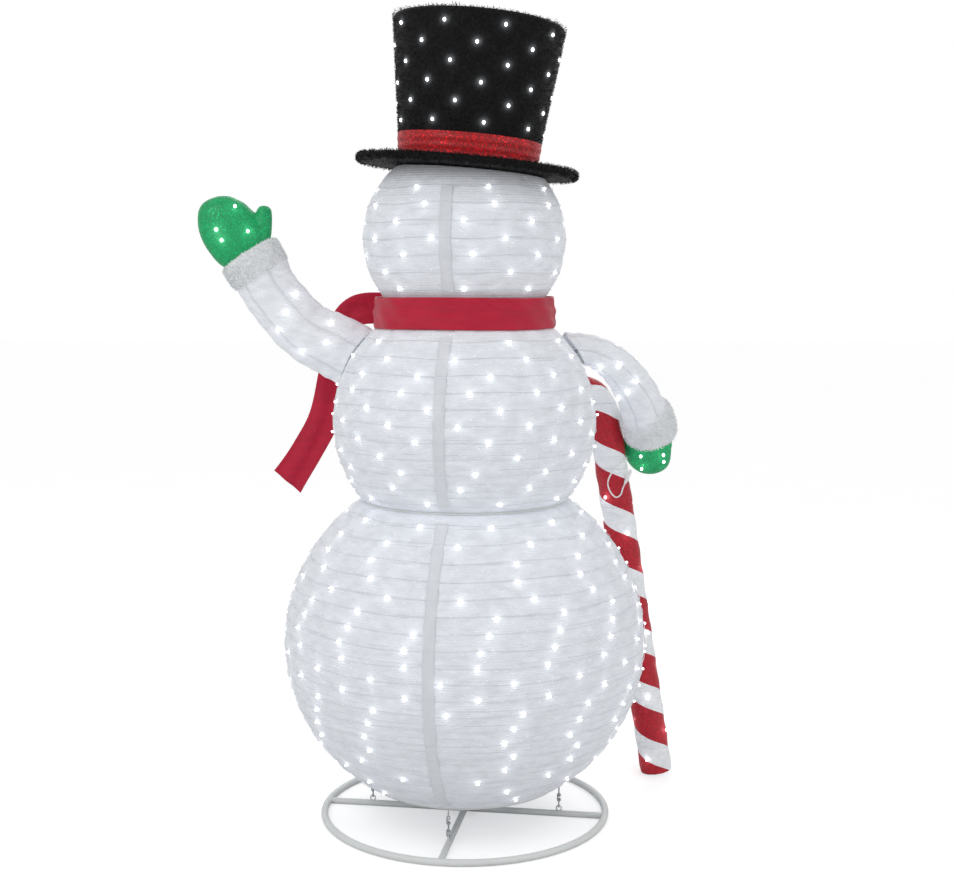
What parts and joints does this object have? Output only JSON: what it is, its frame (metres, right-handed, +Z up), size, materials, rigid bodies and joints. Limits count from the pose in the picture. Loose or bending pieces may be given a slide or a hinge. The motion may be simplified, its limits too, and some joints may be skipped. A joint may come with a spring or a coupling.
{
  "type": "lit pop-up yard snowman",
  "caption": "Collapsible lit yard snowman of mesh balls on wire hoops, with a telescoping pole, top hat, scarf, raised mitten and candy cane.",
  "frame": {"origin": "centre of the base ring, on the ground", "axes": "+Z up, +Y the way the face looks, +X towards the cane arm"},
  "size_m": [1.3369, 0.9958, 2.1572],
  "materials": {
    "white_steel": "white powder coat",
    "zinc_steel": "zinc plated",
    "spring_wire": "bare spring wire",
    "black_plastic": "moulded, fine grain",
    "white_mesh": "sheer white mesh with glitter thread",
    "white_tape": "sewn tape",
    "white_plush": "short pile plush",
    "green_fabric": "green glitter fabric",
    "red_satin": "satin",
    "black_tinsel": "tinsel pile",
    "red_glitter": "glitter fabric",
    "light_bulb": "lit cool white lamp",
    "white_plastic": "moulded",
    "orange_fabric": "felt"
  },
  "bodies": {
    "root": {"base_ring": "white_steel", "base_cross_bars": "white_steel", "tie_chains": "zinc_steel", "tie_hooks": "zinc_steel", "pole_socket": "white_steel", "lower_pole_tube": "white_steel", "lower_pole_collar": "black_plastic", "lower_body_ring": "white_steel", "lower_body_hoops": "spring_wire", "lower_body_cover": "white_mesh", "lower_body_lights": "light_bulb", "lower_closure": "white_tape", "cane_cover": "white_mesh", "cane_stripes": "red_glitter", "cane_hoops": "spring_wire", "cane_lights": "light_bulb", "cane_end_caps": "white_plastic", "cane_lead": "white_plastic", "power_lead": "white_plastic", "power_plug": "white_plastic"},
    "socket_screw": {"socket_screw": "black_plastic"},
    "lower_lock": {"lower_lock_screw": "black_plastic"},
    "pole_middle": {"middle_pole_tube": "white_steel", "upper_pole_collar": "black_plastic"},
    "upper_lock": {"upper_lock_screw": "black_plastic"},
    "pole_top": {"upper_pole_tube": "white_steel", "head_top_spider": "white_steel"},
    "waist": {"waist_ring": "white_steel", "middle_body_hoops": "spring_wire", "middle_body_cover": "white_mesh", "middle_body_lights": "light_bulb", "middle_closure": "white_tape", "coat_buttons": "black_plastic"},
    "shoulders": {"shoulder_pegs": "zinc_steel"},
    "neck": {"neck_ring": "white_steel", "head_hoops": "spring_wire", "head_cover": "white_mesh", "head_lights": "light_bulb", "head_closure": "white_tape", "eyes": "black_plastic", "carrot_nose": "orange_fabric", "mouth_dots": "black_plastic", "scarf_wrap": "red_satin", "scarf_knot": "red_satin", "scarf_tails": "red_satin"},
    "waving_arm": {"waving_arm_frame": "spring_wire", "waving_arm_sleeve": "white_mesh", "waving_arm_cuff": "white_plush", "waving_arm_mitten": "green_fabric", "waving_arm_lights": "light_bulb"},
    "cane_arm": {"cane_arm_frame": "spring_wire", "cane_arm_sleeve": "white_mesh", "cane_arm_cuff": "white_plush", "cane_arm_mitten": "green_fabric", "cane_arm_lights": "light_bulb"},
    "hat": {"hat_frame": "spring_wire", "hat_crown": "black_tinsel", "hat_brim": "black_tinsel", "hat_band": "red_glitter", "hat_lights": "light_bulb"}
  },
  "joints": [
    {"name": "pole_collapse", "type": "slide", "parent": "root", "child": "pole_middle", "axis": [0, 0, 1], "range_m": [-0.5, 0], "deforming": ["lower_body_hoops", "lower_body_cover", "lower_body_lights", "lower_closure", "cane_cover", "cane_stripes", "cane_hoops", "cane_lights", "cane_end_caps", "cane_lead", "middle_body_hoops", "middle_body_cover", "middle_body_lights", "middle_closure", "coat_buttons", "head_hoops", "head_cover", "head_lights", "head_closure", "eyes", "carrot_nose", "mouth_dots", "scarf_tails"]},
    {"name": "pole_upper", "type": "slide", "parent": "pole_middle", "child": "pole_top", "axis": [0, 0, 1], "range_m": [-0.5, 0]},
    {"name": "waist_drop", "type": "slide", "parent": "root", "child": "waist", "axis": [0, 0, 1], "range_m": [-0.487, 0]},
    {"name": "shoulder_drop", "type": "slide", "parent": "waist", "child": "shoulders", "axis": [0, 0, 1], "range_m": [-0.241, 0]},
    {"name": "neck_drop", "type": "slide", "parent": "waist", "child": "neck", "axis": [0, 0, 1], "range_m": [-0.318, 0]},
    {"name": "waving_arm_turn", "type": "hinge", "parent": "shoulders", "child": "waving_arm", "pos_m": [-0.296, 0.092, 1.252], "axis": [-0.8317, 0.2519, 0.4948], "range_deg": [-15, 15]},
    {"name": "cane_arm_turn", "type": "hinge", "parent": "shoulders", "child": "cane_arm", "pos_m": [0.296, 0.05, 1.269], "axis": [0.8243, 0.139, 0.5489], "range_deg": [-8, 20]},
    {"name": "hat_lift", "type": "slide", "parent": "pole_top", "child": "hat", "axis": [0.0872, 0, 0.9962], "range_m": [0, 0.25]},
    {"name": "socket_screw_turn", "type": "hinge", "parent": "root", "child": "socket_screw", "pos_m": [0, 0, 0.09], "axis": [1, 0, 0], "range_deg": [0, 180]},
    {"name": "lower_lock_turn", "type": "hinge", "parent": "root", "child": "lower_lock", "pos_m": [0, 0, 0.627], "axis": [1, 0, 0], "range_deg": [0, 180]},
    {"name": "upper_lock_turn", "type": "hinge", "parent": "pole_middle", "child": "upper_lock", "pos_m": [0, 0, 1.177], "axis": [1, 0, 0], "range_deg": [0, 180]}
  ],
  "couplings": [
    {"joint": "pole_upper", "follows": "pole_collapse", "ratio": 1},
    {"joint": "waist_drop", "follows": "pole_collapse", "ratio": 0.9693},
    {"joint": "shoulder_drop", "follows": "pole_collapse", "ratio": 0.4784},
    {"joint": "neck_drop", "follows": "pole_collapse", "ratio": 0.6312}
  ]
}
